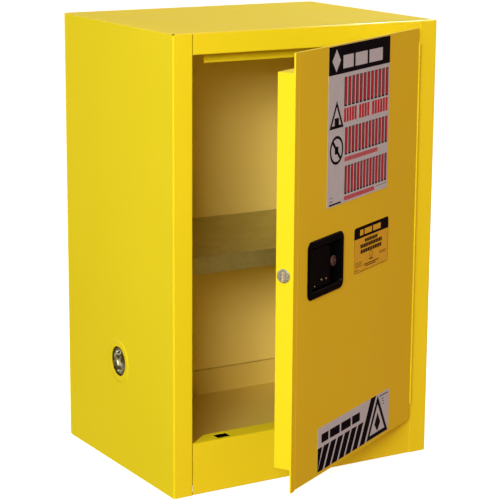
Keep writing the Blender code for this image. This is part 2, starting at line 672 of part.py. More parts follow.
def centre_latch(door):
    """The centre bolt in its collar, and the slide plate whose slots drive the upright bolts."""
    thick, tall = CENTRE_BOLT
    profile = [(0.0, 0.0026), (COLLAR - 0.0002, 0.0026), (COLLAR, 0.0020), (COLLAR, GAP),
               (COLLAR_NECK, GAP), (COLLAR_NECK, -0.010), (0.0, -0.010)]
    collar = turned("latch_collar", profile, (-PAN_FAR, LATCH_IN, LATCH_Z), (-1, 0, 0), ZINC, door,
                    ring=False)
    slide = empty("slide_axis", (-PAN_FAR, LATCH_IN, LATCH_Z), door)
    play = 0.0005
    combine(collar, box("collar_slot", (-0.01, -thick - play, -tall - play),
                        (0.02, thick + play, tall + play), parent=slide))
    tip, inner = -0.0115, PAN_FAR - 0.4523
    bolt = box("centre_bolt", (tip, -thick, -tall), (inner, thick, tall), ZINC, slide)
    wedge = box("bolt_bevel", (-0.02, 0, -0.02), (0.03, 0.02, 0.02), parent=slide)
    wedge.location = (tip, -0.002, 0)
    wedge.rotation_euler = (0, 0, math.radians(35))
    combine(bolt, wedge)
    plate_x = [PAN_FAR - far for far in (0.452, 0.408)]
    plate = box("latch_slide", (plate_x[0], 0.003, -0.052), (plate_x[1], 0.005, 0.052),
                GALVANISED, slide, along=1, radius=0.004)
    lug = PAN_FAR - PADDLE_AT + 0.0033
    combine(plate, box("slide_lug", (lug, -0.004, -0.004), (lug + 0.003, 0.004, 0.004), parent=slide),
            'UNION')
    for end, word in ((1, "upper"), (-1, "lower")):
        combine(plate, drive_slot(slide, end, word))


def drive_slot(slide, end, word):
    """A sloping slot, along which a rod's pin runs as the plate moves."""
    length = math.hypot(CENTRE_TRAVEL, ROD_TRAVEL)
    slot = box("drive_slot_" + word, (-length / 2 - 0.0033, -0.01, -0.0031),
               (length / 2 + 0.0033, 0.01, 0.0031), parent=slide)
    slot.location = (PAN_FAR - ROD_AT - CENTRE_TRAVEL / 2, 0.004, end * (0.040 - ROD_TRAVEL / 2))
    slot.rotation_euler = (0, -end * math.atan2(ROD_TRAVEL, CENTRE_TRAVEL), 0)
    return slot


def upright_bolt(door, end, word):
    """A rod and its bullet-nosed bolt, with the bush in the pan's edge."""
    edge = PAN_HIGH if end > 0 else PAN_LOW
    join = edge - end * 0.018
    tip = edge + end * 0.0185
    near = LATCH_Z + end * 0.032
    low, high = sorted((near, join))
    bar = box(f"{word}_rod", (-ROD_AT - 0.006, LATCH_IN - 0.0015, low),
              (-ROD_AT + 0.006, LATCH_IN + 0.0015, high), GALVANISED, door)
    pin = LATCH_Z + end * 0.040
    combine(bar, rod(f"{word}_drive_pin", 0.0025, (-ROD_AT, LATCH_IN, pin), (-ROD_AT, LATCH_IN + 0.0075, pin),
                     parent=door, sides=12), 'UNION')
    length = abs(tip - join) - GAP
    bullet = [(0.0, length), (0.0025, length), (0.0055, length - 0.005), (BOLT, length - 0.011),
              (BOLT, 0.0), (0.0, 0.0)]
    turned(f"{word}_bolt", bullet, (-ROD_AT, LATCH_IN, join + end * GAP), (0, 0, end), ZINC, door,
           sides=20, ring=False)
    bush = [(0.012, 0.0018), (0.012, GAP), (0.0095, GAP), (0.0095, -0.007), (0.0074, -0.007),
            (0.0074, 0.0018)]
    turned(f"{word}_bush", bush, (-ROD_AT, LATCH_IN, edge), (0, 0, end), ZINC, door)


def cabinet():
    """The standing cabinet."""
    for side, word in ((-1, "left"), (1, "right")):
        wall = outer_side(side, word)
        if side < 0:
            strike_slot(wall)
        inner_side(side, word)
        vent(side, word)
    outer_top()
    front_apron()
    outer_back()
    base_pan()
    inner_shell()
    ground_connection()
    for x, across in ((-1, "left"), (1, "right")):
        for y, end in ((-1, "front"), (1, "back")):
            foot(x, y, f"{end}_{across}")
    shelf()


def door_assembly():
    """The door on its hinge, with its handle, lock and latch."""
    axis = (HINGE_X, FRONT - HINGE_FORWARD, 0)
    frame_axis = empty("hinge_axis", axis)
    door = empty("door_swing", axis, turn=DOOR_AJAR)
    hinge(frame_axis, door)
    door_shell(door)
    labels(door)
    handle_dish(door)
    paddle(door)
    lock(door)
    centre_latch(door)
    upright_bolt(door, 1, "upper")
    upright_bolt(door, -1, "lower")


cabinet()
door_assembly()
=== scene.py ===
"""The looks of a flammable storage cabinet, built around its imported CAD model.

Metres, +Z up, front towards -Y. Pieces of the door are made closed, in the door's own frame: the
hinge axis is its origin, a distance from the hinge runs along -X and depth into the door along +Y.
"""
import json
import math

import bmesh
import bpy
from mathutils import Matrix, Vector


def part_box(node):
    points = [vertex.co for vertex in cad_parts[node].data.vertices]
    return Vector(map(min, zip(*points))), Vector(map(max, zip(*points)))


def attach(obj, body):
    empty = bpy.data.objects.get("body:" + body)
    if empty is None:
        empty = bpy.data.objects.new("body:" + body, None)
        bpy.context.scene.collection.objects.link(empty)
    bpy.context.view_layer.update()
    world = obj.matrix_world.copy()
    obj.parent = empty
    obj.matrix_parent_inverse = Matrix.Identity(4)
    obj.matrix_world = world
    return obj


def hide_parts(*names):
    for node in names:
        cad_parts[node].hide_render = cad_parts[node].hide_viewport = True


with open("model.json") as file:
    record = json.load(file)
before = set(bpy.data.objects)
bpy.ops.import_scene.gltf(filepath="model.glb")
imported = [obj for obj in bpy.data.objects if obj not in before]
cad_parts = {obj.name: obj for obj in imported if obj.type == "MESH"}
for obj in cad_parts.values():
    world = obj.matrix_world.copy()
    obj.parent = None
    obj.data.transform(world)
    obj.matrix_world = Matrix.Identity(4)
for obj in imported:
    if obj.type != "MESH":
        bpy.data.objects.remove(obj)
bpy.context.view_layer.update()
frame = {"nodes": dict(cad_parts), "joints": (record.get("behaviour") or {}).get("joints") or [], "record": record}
RECORD = frame["record"]
BODY_OF = {name: body for body, names in RECORD["behaviour"]["bodies"].items() for name in names}
SLOT_OF = {part["node"]: part["material_slot"] for part in RECORD["subparts"]}
JOINTS = {joint["name"]: joint for joint in frame["joints"]}

# The cabinet's planes, read from its CAD nodes, and the height of the door stop under the header
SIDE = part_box("outer_back")[1].x
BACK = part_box("outer_back")[1].y
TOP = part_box("outer_top")[1].z
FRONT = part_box("outer_top")[0].y
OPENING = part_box("front_apron")[1].x
STOP_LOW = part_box("outer_top")[0].z
STOP_TALL = 0.0202
HEADER_UNDER = STOP_LOW + STOP_TALL
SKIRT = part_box("outer_side_left")[0].z

# Sheet steel: its thickness, the clearance between pieces, a bend's outer radius, and how deep the
# jambs, the ledge and the flanges at the back are
SHEET = 0.0012
HAIR = 0.0003
BEND = 0.003
JAMB = 0.038
LEDGE = 0.0395
BACK_FLANGE = 0.015

# Edges sharper than EDGE_ANGLE are bevelled; those sharper than SMOOTH_ANGLE are shaded as edges
EDGE_ANGLE = math.radians(40)
SMOOTH_ANGLE = math.radians(38)
OUT_OF_DOOR = (0, -1, 0)

# The radius of a vent's hole, and the paddle's axis and the height of its tail in the door's frame
VENT_HOLE = 0.030
PADDLE_AXIS_X = -0.437
PADDLE_AXIS_Y = 0.0065
TAIL_Z = 0.476

# Printing: the rise of each layer, how deep it sits in the plate, and the rise of marks over a band
PRINT_LAYER = 0.00004
PRINT_ROOT = 0.0001
MARK_RISE = 0.00012

# The camera: its place, its turn, pitch and roll, and its lens in millimetres
CAMERA_AT = (-1.877, -3.1395, 1.239)
CAMERA_DEGREES = (30.97, 12.74, 0.40)
LENS = 131.93

# The floor's size and glow, and the brightness of the surround
FLOOR_REACH = 30.0
FLOOR_GLOW = 0.88
SURROUND_STRENGTH = 1.85

# Name, place, aim, size, watts and tint of each lamp
LAMPS = (
    ("key_light", (-3.76, -2.77, 2.3), (0.0, 0.0, 0.5), 1.9, 92.0, (1.0, 1.20, 0.75)),
    ("fill_light", (-3.94, -4.96, 2.6), (0.0, 0.0, 0.45), 1.7, 204.0, (1.0, 0.94, 0.95)),
    ("rim_light", (1.77, 0.8, 3.0), (0.0, 0.0, 0.8), 0.4, 27.0, (1.0, 1.14, 1.1)),
    ("side_light", (-2.6, 0.1, 0.75), (-0.3, 0.05, 0.2), 0.35, 2.5, (1.0, 1.0, 1.0)))

# The door's frame: its hinge, and how far it stands open at rest
SWING = JOINTS["door_swing"]
HINGE = Vector((SWING["pos_m"][0], SWING["pos_m"][1], 0.0))
AJAR = math.radians(-SWING["range_deg"][0])
DOOR = Matrix.Translation(HINGE) @ Matrix.Rotation(AJAR, 4, 'Z')


def middle_of(low, high):
    """The middle of a box."""
    return (low + high) / 2


def door_box(cad_node):
    """A CAD node's lowest and highest corners in the door's frame."""
    back = DOOR.inverted()
    points = [back @ vertex.co for vertex in frame["nodes"][cad_node].data.vertices]
    return [Vector([pick(p[i] for p in points) for i in range(3)]) for pick in (min, max)]


# ---- Camera ----

def camera():
    """A long lens from the front left, a little above the cabinet."""
    turn, pitch, roll = (math.radians(angle) for angle in CAMERA_DEGREES)
    ahead = Vector((math.sin(turn) * math.cos(pitch), math.cos(turn) * math.cos(pitch),
                    -math.sin(pitch)))
    level = Vector((math.cos(turn), -math.sin(turn), 0.0))
    upright = level.cross(ahead)
    right = level * math.cos(roll) + upright * math.sin(roll)
    up = upright * math.cos(roll) - level * math.sin(roll)
    data = bpy.data.cameras.new("camera")
    data.lens = LENS
    made = bpy.data.objects.new("camera", data)
    made.matrix_world = (Matrix.Translation(CAMERA_AT)
                         @ Matrix((right, up, -ahead)).transposed().to_4x4())
    bpy.context.scene.collection.objects.link(made)
    bpy.context.scene.camera = made


# ---- Materials ----

def node(tree, kind, inputs=None, **settings):
    """A shader node; inputs are plain values or other nodes' outputs."""
    made = tree.nodes.new("ShaderNode" + kind)
    for name, value in settings.items():
        setattr(made, name, value)
    for name, value in (inputs or {}).items():
        if isinstance(value, bpy.types.NodeSocket):
            tree.links.new(value, made.inputs[name])
        else:
            made.inputs[name].default_value = value
    return made


def material(name, **sockets):
    """A material with its Principled sockets set, and its node tree and shader."""
    made = bpy.data.materials.new(name)
    made.use_nodes = True
    shader = made.node_tree.nodes["Principled BSDF"]
    for socket, value in sockets.items():
        shader.inputs[socket.replace("_", " ")].default_value = value
    return made, made.node_tree, shader


def place(tree, stretch=(1.0, 1.0, 1.0)):
    """A point's place on the piece, stretched along each axis."""
    here = node(tree, "TexCoord").outputs["Object"]
    return node(tree, "Mapping", {"Vector": here, "Scale": stretch}).outputs["Vector"]


def noise(tree, where, scale, detail=2.0):
    """Soft noise of a given number of cells per metre."""
    inputs = {"Vector": where, "Scale": scale, "Detail": detail}
    return node(tree, "TexNoise", inputs).outputs["Fac"]


def ramp(tree, value, *stops):
    """A colour ramp through (position, colour) stops."""
    made = node(tree, "ValToRGB", {"Fac": value})
    elements = made.color_ramp.elements
    while len(elements) < len(stops):
        elements.new(0.5)
    for element, (position, color) in zip(elements, stops):
        element.position = position
        element.color = (*color, 1.0)
    return made.outputs["Color"]


def spread(tree, value, low, high):
    """Noise stretched to run from low to high."""
    inputs = {"Value": value, "From Min": 0.3, "From Max": 0.7, "To Min": low, "To Max": high}
    return node(tree, "MapRange", inputs).outputs["Result"]


def bump(tree, shader, height, distance, strength=0.5, after=None):
    """Relief of a given depth in metres, on top of any relief made before."""
    inputs = {"Height": height, "Distance": distance, "Strength": strength}
    if after:
        inputs["Normal"] = after
    made = node(tree, "Bump", inputs).outputs["Normal"]
    tree.links.new(made, shader.inputs["Normal"])
    return made


def colour(tree, shader, tone, roughness):
    """Link a shader's colour and roughness."""
    tree.links.new(tone, shader.inputs["Base Color"])
    tree.links.new(roughness, shader.inputs["Roughness"])


def gloss_bends(tree, shader, flat, bent):
    """A clear coat that is thicker where a bend looks upward than on the flats."""
    normal = node(tree, "TexCoord").outputs["Normal"]
    rise = node(tree, "SeparateXYZ", {"Vector": normal}).outputs["Z"]
    weight = ramp(tree, rise, *[(position, [amount] * 3) for position, amount in
                                ((0.20, flat), (0.45, bent), (0.90, bent), (0.99, flat))])
    tree.links.new(weight, shader.inputs["Coat Weight"])


def enamel(name, low, high, coat):
    """Powder coat with a fine orange peel, a slow drift of tone and a glossier coat over bends."""
    made, tree, shader = material(name, IOR=1.5, Specular_IOR_Level=0.3,
                                  Coat_IOR=2.2, Coat_Roughness=0.12)
    gloss_bends(tree, shader, coat, 1.0)
    where = place(tree)
    tone = ramp(tree, noise(tree, where, 3.0), (0.25, low), (0.75, high))
    colour(tree, shader, tone, spread(tree, noise(tree, where, 9.0), 0.50, 0.60))
    peel = bump(tree, shader, noise(tree, where, 420.0, 1.0), 0.00006)
    bump(tree, shader, noise(tree, where, 7.0, 1.0), 0.0006, 0.35, peel)
    return made


def galvanised():
    """Zinc-dipped sheet: dull grey with a faint spangle."""
    made, tree, shader = material("spangled_zinc_sheet", Metallic=0.85)
    where = place(tree)
    cells = node(tree, "TexVoronoi", {"Vector": where, "Scale": 130.0, "Randomness": 1.0})
    tone = ramp(tree, cells.outputs["Color"], (0.1, (0.48, 0.465, 0.265)), (0.9, (0.54, 0.52, 0.30)))
    colour(tree, shader, tone, spread(tree, noise(tree, where, 25.0, 4.0), 0.34, 0.52))
    bump(tree, shader, noise(tree, where, 700.0), 0.00004)
    return made


def zinc():
    """Bright zinc plate with the green, brown and plum patches of its passivate."""
    made, tree, shader = material("yellow_passivate", Metallic=1.0)
    where = place(tree)
    tone = ramp(tree, noise(tree, where, 60.0, 1.5),
                (0.30, (0.12, 0.27, 0.20)), (0.43, (0.78, 0.80, 0.76)),
                (0.56, (0.22, 0.17, 0.10)), (0.70, (0.12, 0.06, 0.09)))
    colour(tree, shader, tone, spread(tree, noise(tree, where, 90.0), 0.28, 0.42))
    bump(tree, shader, noise(tree, where, 900.0), 0.00002)
    return made


def plating(name, metallic, low, high):
    """Dull metal plating, faintly streaked."""
    made, tree, shader = material(name, Metallic=metallic)
    grain = noise(tree, place(tree, (1.0, 1.0, 6.0)), 180.0)
    tone = ramp(tree, grain, (0.3, low), (0.7, high))
    colour(tree, shader, tone, spread(tree, grain, 0.22, 0.36))
    bump(tree, shader, grain, 0.00003)
    return made


def black_paint():
    """Satin black powder coat with a fine grain."""
    made, tree, shader = material("satin_black", IOR=1.5, Specular_IOR_Level=0.014,
                                  Specular_Tint=(0.45, 0.85, 1.0, 1.0),
                                  Coat_IOR=1.6, Coat_Roughness=0.2)
    gloss_bends(tree, shader, 0.0, 0.3)
    where = place(tree)
    tone = ramp(tree, noise(tree, where, 14.0),
                (0.3, (0.0012, 0.0013, 0.0015)), (0.7, (0.0026, 0.0028, 0.0032)))
    colour(tree, shader, tone, spread(tree, noise(tree, where, 40.0), 0.34, 0.46))
    bump(tree, shader, noise(tree, where, 1100.0), 0.00005)
    return made


def bronze():
    """The lock's dark worn metal, brushed across."""
    made, tree, shader = material("brushed_bronze", Metallic=1.0)
    grain = noise(tree, place(tree, (1.0, 1.0, 9.0)), 260.0)
    tone = ramp(tree, grain, (0.3, (0.09, 0.105, 0.09)), (0.7, (0.30, 0.34, 0.29)))
    colour(tree, shader, tone, spread(tree, grain, 0.16, 0.26))
    bump(tree, shader, grain, 0.00002)
    return made


def rubber():
    """Matt black rubber, dusty in patches."""
    made, tree, shader = material("matt_rubber", IOR=1.45)
    where = place(tree)
    tone = ramp(tree, noise(tree, where, 90.0, 4.0),
                (0.35, (0.014, 0.014, 0.014)), (0.75, (0.05, 0.05, 0.047)))
    colour(tree, shader, tone, spread(tree, noise(tree, where, 200.0), 0.65, 0.85))
    bump(tree, shader, noise(tree, where, 1500.0), 0.00008)
    return made


def print_finish(name, dark, light, gloss=0.2):
    """Laminated print or ink of one colour, very slightly mottled."""
    made, tree, shader = material(name, IOR=1.5, Specular_IOR_Level=gloss)
    where = place(tree)
    tone = ramp(tree, noise(tree, where, 60.0, 3.0), (0.3, dark), (0.7, light))
    colour(tree, shader, tone, spread(tree, noise(tree, where, 25.0), 0.33, 0.43))
    bump(tree, shader, noise(tree, where, 1800.0), 0.00001)
    return made


ENAMEL = enamel("yellow_powder_coat", (0.89, 0.725, 0.013), (0.93, 0.755, 0.017), 0.02)
# The hinge's enamel, brighter than the body's: a painted highlight for the lit knuckles
HINGE_PAINTED_HIGHLIGHT = enamel("hinge_enamel_with_painted_highlight", (0.97, 0.87, 0.012), (1.0, 0.90, 0.016), 0.02)
# The sump's enamel, darker than the lining's: painted shade for the shelf's shadow over the lower interior
SUMP_PAINTED_SHADE = enamel("sump_enamel_with_painted_shade", (0.83, 0.63, 0.14), (0.86, 0.66, 0.16), 0.03)
# The lining's enamel, paler and less saturated than the outer coat: painted light for the interior; the real paint
# is the same inside and out
LINING_PAINTED_LIGHT = enamel("inner_enamel_with_painted_light", (0.95, 0.745, 0.20), (0.97, 0.77, 0.22), 0.03)
GALVANISED = galvanised()
ZINC = zinc()
NICKEL = plating("dull_nickel", 0.7, (0.40, 0.40, 0.49), (0.72, 0.72, 0.83))
BRIGHT_PLATE = plating("bright_zinc", 0.5, (0.76, 0.74, 0.62), (0.97, 0.94, 0.82))
# Near-black plate for the vent sleeves: painted shade for the dark gap round each plug
SLEEVE_PAINTED_SHADE = plating("zinc_darkened_for_painted_shade", 1.0, (0.030, 0.028, 0.034), (0.075, 0.065, 0.075))
BLACK = black_paint()
BRONZE = bronze()
RUBBER = rubber()
PAPER = print_finish("label_paper", (0.56, 0.68, 0.76), (0.60, 0.72, 0.80), gloss=0.4)
YELLOW_PAPER = print_finish("label_yellow", (0.80, 0.53, 0.02), (0.86, 0.58, 0.025))
INK = print_finish("ink_black", (0.0015, 0.002, 0.005), (0.003, 0.004, 0.008), gloss=0.015)
RED_INK = print_finish("ink_red", (0.50, 0.014, 0.034), (0.58, 0.020, 0.042))
FINISHES = {"yellow_enamel": ENAMEL, "galvanised_steel": GALVANISED, "zinc_plate": ZINC,
            "black_paint": BLACK, "lock_bronze": BRONZE, "black_rubber": RUBBER,
            "printed_label": PAPER}
SLOTS = {made.name: slot for slot, made in FINISHES.items()}
SLOTS.update({made.name: "yellow_enamel" for made in (LINING_PAINTED_LIGHT, SUMP_PAINTED_SHADE, HINGE_PAINTED_HIGHLIGHT)})
SLOTS.update({made.name: "zinc_plate" for made in (NICKEL, BRIGHT_PLATE, SLEEVE_PAINTED_SHADE)})
# The lining and the sump take copies of the enamel with light and shade painted in; the centre bolt takes its own
# plating
LINING = ("inner_side_left", "inner_side_right", "inner_back", "inner_top")
OWN_AND_PAINTED_LIGHT_FINISHES = dict.fromkeys(LINING, LINING_PAINTED_LIGHT)
OWN_AND_PAINTED_LIGHT_FINISHES.update({"sump_pan": SUMP_PAINTED_SHADE, "centre_bolt": BRIGHT_PLATE})


# ---- Mesh tools ----

def box_mesh(low, high):
    """A box between two corners."""
    mesh = bmesh.new()
    bmesh.ops.create_cube(mesh, size=1)
    bmesh.ops.scale(mesh, vec=[b - a for a, b in zip(low, high)], verts=mesh.verts)
    bmesh.ops.translate(mesh, vec=[(a + b) / 2 for a, b in zip(low, high)], verts=mesh.verts)
    return mesh


def rod_mesh(radius, start, end, sides=32):
    """A cylinder between two points."""
    start, end = Vector(start), Vector(end)
    mesh = bmesh.new()
    bmesh.ops.create_cone(mesh, cap_ends=True, segments=sides, radius1=radius, radius2=radius,
                          depth=(end - start).length)
    turn = (end - start).to_track_quat('Z', 'Y').to_matrix().to_4x4()
    bmesh.ops.transform(mesh, matrix=Matrix.Translation((start + end) / 2) @ turn, verts=mesh.verts)
    return mesh


def turned_mesh(profile, centre, direction, sides=48, ring=True):
    """A turned solid: (radius, height) pairs spun about an axis; a ring's profile closes on itself."""
    mesh = bmesh.new()
    points = [mesh.verts.new((radius, 0.0, height)) for radius, height in profile]
    pairs = list(zip(points, points[1:])) + ([(points[-1], points[0])] if ring else [])
    for pair in pairs:
        mesh.edges.new(pair)
    bmesh.ops.spin(mesh, geom=mesh.verts[:] + mesh.edges[:], cent=(0, 0, 0), axis=(0, 0, 1),
                   angle=2 * math.pi, steps=sides, use_merge=True)
    bmesh.ops.remove_doubles(mesh, verts=mesh.verts, dist=1e-6)
    bmesh.ops.recalc_face_normals(mesh, faces=mesh.faces)
    turn = Vector(direction).to_track_quat('Z', 'Y').to_matrix().to_4x4()
    bmesh.ops.transform(mesh, matrix=Matrix.Translation(centre) @ turn, verts=mesh.verts)
    return mesh


def rounded_outline(low, high, radii, steps=6):
    """Points round a rectangle whose corners, from the high one on, have their own radii."""
    corners = ((high[0], high[1]), (low[0], high[1]), (low[0], low[1]), (high[0], low[1]))
    points = []
    for index, ((x, y), radius) in enumerate(zip(corners, radii)):
        centre_x = x - math.copysign(radius, x - low[0] - 1e-9)
        centre_y = y - math.copysign(radius, y - low[1] - 1e-9)
        for step in range(steps + 1):
            angle = math.pi / 2 * (index + step / steps)
            points.append((centre_x + radius * math.cos(angle),
                           centre_y + radius * math.sin(angle)))
    return points


def skin(mesh, rings):
    """Faces between each ring of vertices and the next, all with the same count."""
    for near, far in zip(rings, rings[1:]):
        for i in range(len(near)):
            j = (i + 1) % len(near)
            mesh.faces.new((near[i], near[j], far[j], far[i]))


def loft_mesh(rings):
    """A closed solid through rings of points, all with the same count, capped at both ends."""
    mesh = bmesh.new()
    made = [[mesh.verts.new(point) for point in ring] for ring in rings]
    skin(mesh, made)
    mesh.faces.new(made[0])
    mesh.faces.new(made[-1])
    bmesh.ops.recalc_face_normals(mesh, faces=mesh.faces)
    return mesh


def plate_mesh(points, front, back):
    """A flat shape facing the door's front: (x, z) points between two depths."""
    return loft_mesh([[(x, y, z) for x, z in points] for y in (front, back)])


def joined(*meshes):
    """Several bmeshes as one."""
    whole = bmesh.new()
    for mesh in meshes:
        data = bpy.data.meshes.new("join")
        mesh.to_mesh(data)
        mesh.free()
        whole.from_mesh(data)
        bpy.data.meshes.remove(data)
    return whole


def sheet_mesh(path, low, high, axis):
    """An open sheet: a section in (y, z) on axis X or (x, y) on axis Z, extruded."""
    def spot(a, b, along):
        return (along, a, b) if axis == 'X' else (a, b, along)
    mesh = bmesh.new()
    rows = [[mesh.verts.new(spot(a, b, along)) for a, b in path] for along in (low, high)]
    for i in range(len(path) - 1):
        mesh.faces.new((rows[0][i], rows[0][i + 1], rows[1][i + 1], rows[1][i]))
    return mesh


def loose(name, mesh):
    """An object from a bmesh, linked but not yet finished."""
    data = bpy.data.meshes.new(name)
    mesh.to_mesh(data)
    mesh.free()
    made = bpy.data.objects.new(name, data)
    bpy.context.scene.collection.objects.link(made)
    return made


def settle(made):
    """Apply an object's modifiers."""
    graph = bpy.context.evaluated_depsgraph_get()
    data = bpy.data.meshes.new_from_object(made.evaluated_get(graph))
    made.modifiers.clear()
    made.data = data


def soften(made, width, segments=2):
    """Round a piece's sharp edges."""
    bevel = made.modifiers.new("edges", 'BEVEL')
    bevel.width = width
    bevel.segments = segments
    bevel.limit_method = 'ANGLE'
    bevel.angle_limit = EDGE_ANGLE
    settle(made)


def thicken(made, even=True):
    """Give an open sheet its thickness, inwards from its outer face."""
    solidify = made.modifiers.new("sheet", 'SOLIDIFY')
    solidify.thickness = SHEET
    solidify.offset = -1.0
    solidify.use_even_offset = even
    settle(made)


def cut(made, *meshes):
    """Cut each bmesh out of an object."""
    for mesh in meshes:
        cutter = loose("cutter", mesh)
        boolean = made.modifiers.new("cut", 'BOOLEAN')
        boolean.operation = 'DIFFERENCE'
        boolean.solver = 'EXACT'
        boolean.object = cutter
        settle(made)
        bpy.data.objects.remove(cutter, do_unlink=True)


def finish(made, finish_material, body, *replaced, matrix=None):
    """Place a piece, shade it, give it its material and put it on its body."""
    if matrix:
        made.data.transform(matrix)
    made.data.materials.clear()
    made.data.materials.append(finish_material)
    made.data.shade_smooth()
    made.data.set_sharp_from_angle(angle=SMOOTH_ANGLE)
    weighted = made.modifiers.new("normals", 'WEIGHTED_NORMAL')
    weighted.keep_sharp = True
    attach(made, body)
    if replaced:
        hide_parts(*replaced)


def on_door(name, mesh, finish_material, *replaced, body="door"):
    """A piece made in the door's frame."""
    finish(loose(name, mesh), finish_material, body, *replaced, matrix=DOOR)


def dressed(cad_node, edge=0.0003, cutters=(), extra=None):
    """A CAD node's shape with its flat faces merged and its edges rounded, standing for it."""
    mesh = bmesh.new()
    mesh.from_mesh(frame["nodes"][cad_node].data)
    bmesh.ops.remove_doubles(mesh, verts=mesh.verts, dist=1e-5)
    bmesh.ops.dissolve_limit(mesh, angle_limit=math.radians(0.5), verts=mesh.verts,
                             edges=mesh.edges)
    made = loose(cad_node + "_finished", mesh)
    cut(made, *cutters)
    soften(made, edge)
    if extra:
        merge(made, extra)
    finish(made, finish_of(cad_node), BODY_OF[cad_node], cad_node)


def finish_of(cad_node):
    """The material of a CAD node: its own where it has one (for the lining and the sump, enamel with painted light
    or shade), or else its slot's.
    """
    return OWN_AND_PAINTED_LIGHT_FINISHES.get(cad_node) or FINISHES[SLOT_OF[cad_node]]


def merge(made, mesh):
    """Add a bmesh to an object's mesh."""
    own = bmesh.new()
    own.from_mesh(made.data)
    joined(own, mesh).to_mesh(made.data)


# ---- Cabinet shell ----

def wall(side, word):
    """A side wall: stile, jamb and back flange bent from one sheet, with the vent hole and its boss."""
    rear = BACK - SHEET - HAIR
    path = [(-SIDE + BACK_FLANGE, rear), (-SIDE, rear), (-SIDE, FRONT),
            (-OPENING - HAIR / 2, FRONT), (-OPENING - HAIR / 2, FRONT + JAMB)]
    if side > 0:
        path = [(-x, y) for x, y in reversed(path)]
    made = loose(f"outer_side_{word}_finished", sheet_mesh(path, SKIRT, TOP - BEND, 'Z'))
    soften(made, BEND, segments=5)
    thicken(made)
    ground_hole, jamb_foot = 0.0046, 0.050
    through = Vector((side * 0.01, 0, 0))
    vent = Vector((side * SIDE, *middle_of(*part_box("vent_plug_" + word)).yz))
    jamb = sorted((side * (OPENING - 0.003), side * (OPENING + 0.006)))
    cutters = [rod_mesh(VENT_HOLE, vent + through, vent - through, 64),
               box_mesh((jamb[0], FRONT + SHEET * 2, -0.01), (jamb[1], FRONT + 0.06, jamb_foot))]
    if side < 0:
        bolt = HINGE + middle_of(*door_box("centre_bolt"))
        keep = Vector((0.006, 0.0095, 0.011))
        slot = Vector((-OPENING, bolt.y, bolt.z))
        cutters.append(box_mesh(slot - keep, slot + keep))
    else:
        ground = Vector((SIDE, *middle_of(*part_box("ground_screw")).yz))
        cutters.append(rod_mesh(ground_hole, ground - through, ground + through))
    cut(made, *cutters)
    boss = [(VENT_HOLE, 0.0010), (0.0385, 0.0013), (0.0402, 0.0011), (0.0440, -0.0003),
            (VENT_HOLE, -0.0003)]
    merge(made, turned_mesh(boss, vent, (side, 0, 0), 96))
    finish(made, ENAMEL, "cabinet", "outer_side_" + word)


def top_cover():
    """The top, rounded over at the front and sides, and the header with its flange and door stop."""
    relief_radius, header_bend, mitre_low, over = 0.0019, 0.0022, 0.82, 0.004
    low, high = (-SIDE, FRONT, TOP - BEND), (SIDE, BACK - SHEET - HAIR, TOP)
    mesh = box_mesh(low, high)
    mesh.normal_update()
    edges = []
    for edge in mesh.edges:
        middle = middle_of(*[vertex.co for vertex in edge.verts])
        if middle.y < high[1] - 1e-6 and middle.z > low[2] + 1e-6:
            edges.append(edge)
    bmesh.ops.bevel(mesh, geom=edges, offset=BEND * 0.999, segments=6, profile=0.5,
                    affect='EDGES')
    under = [face for face in mesh.faces if face.normal.z < -0.9]
    bmesh.ops.delete(mesh, geom=under, context='FACES')
    made = loose("outer_top_finished", mesh)
    thicken(made, even=False)
    for side in (-1, 1):
        corner = Vector((side * (SIDE - SHEET), FRONT + SHEET, TOP - SHEET))
        along = Vector((side, -1, 1)) * 0.004
        cut(made, rod_mesh(relief_radius, corner + along, corner - along))
    path = [(FRONT, TOP - BEND), (FRONT, HEADER_UNDER), (FRONT + JAMB, HEADER_UNDER),
            (FRONT + JAMB, STOP_LOW)]
    header = loose("header", sheet_mesh(path, -OPENING, OPENING, 'X'))
    soften(header, header_bend, segments=5)
    thicken(header)
    cutters = [mitre_prism(side, mitre_low, HEADER_UNDER + over) for side in (-1, 1)]
    slot = Vector((*latch_point(), HEADER_UNDER))
    reach = Vector((0.0145, 0.011, over))
    cutters.append(box_mesh(slot - reach, slot + reach))
    cut(header, *cutters)
    header_mesh = bmesh.new()
    header_mesh.from_mesh(header.data)
    bpy.data.objects.remove(header, do_unlink=True)
    merge(made, header_mesh)
    finish(made, ENAMEL, "cabinet", "outer_top")


def latch_point():
    """The middle (x, y) of the slots that take the upright bolts when the door is shut."""
    bolt = HINGE + middle_of(*door_box("upper_bolt"))
    swing_room = 0.002
    return bolt.x - swing_room, bolt.y


def painted_shade_pockets():
    """Black pockets behind the slots for the upright bolts: painted shade for the dark hollows of the sill and the
    header.
    """
    deep = 0.030
    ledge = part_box("front_apron")[1].z - SHEET

    def block(half_x, half_y, *heights):
        x, y = latch_point()
        low, high = sorted(heights)
        return box_mesh((x - half_x, y - half_y, low), (x + half_x, y + half_y, high))
    for word, mouth, floor in (("lower", ledge - HAIR, ledge - deep),
                               ("upper", HEADER_UNDER + SHEET + HAIR, HEADER_UNDER + deep)):
        pocket = loose(word + "_painted_shade_pocket", block(0.0165, 0.0130, mouth, floor))
        tall = mouth - floor
        cut(pocket, block(0.0155, 0.0120, mouth + tall / 8, floor + tall / 28))
        # Black inside and out: painted shade where the hollow would be dark
        finish(pocket, BLACK, "cabinet")


def mitre_prism(side, low, high):
    """What the angled end of the header's flange leaves out."""
    ahead, behind, reach = FRONT + SHEET * 2, FRONT + LEDGE * 1.2, OPENING + 0.01
    mitre = 0.0552
    outline = [(side * x, y) for x, y in
               ((OPENING - mitre, behind), (reach, behind), (reach, ahead), (OPENING, ahead))]
    return loft_mesh([[(x, y, z) for x, y in outline] for z in (low, high)])


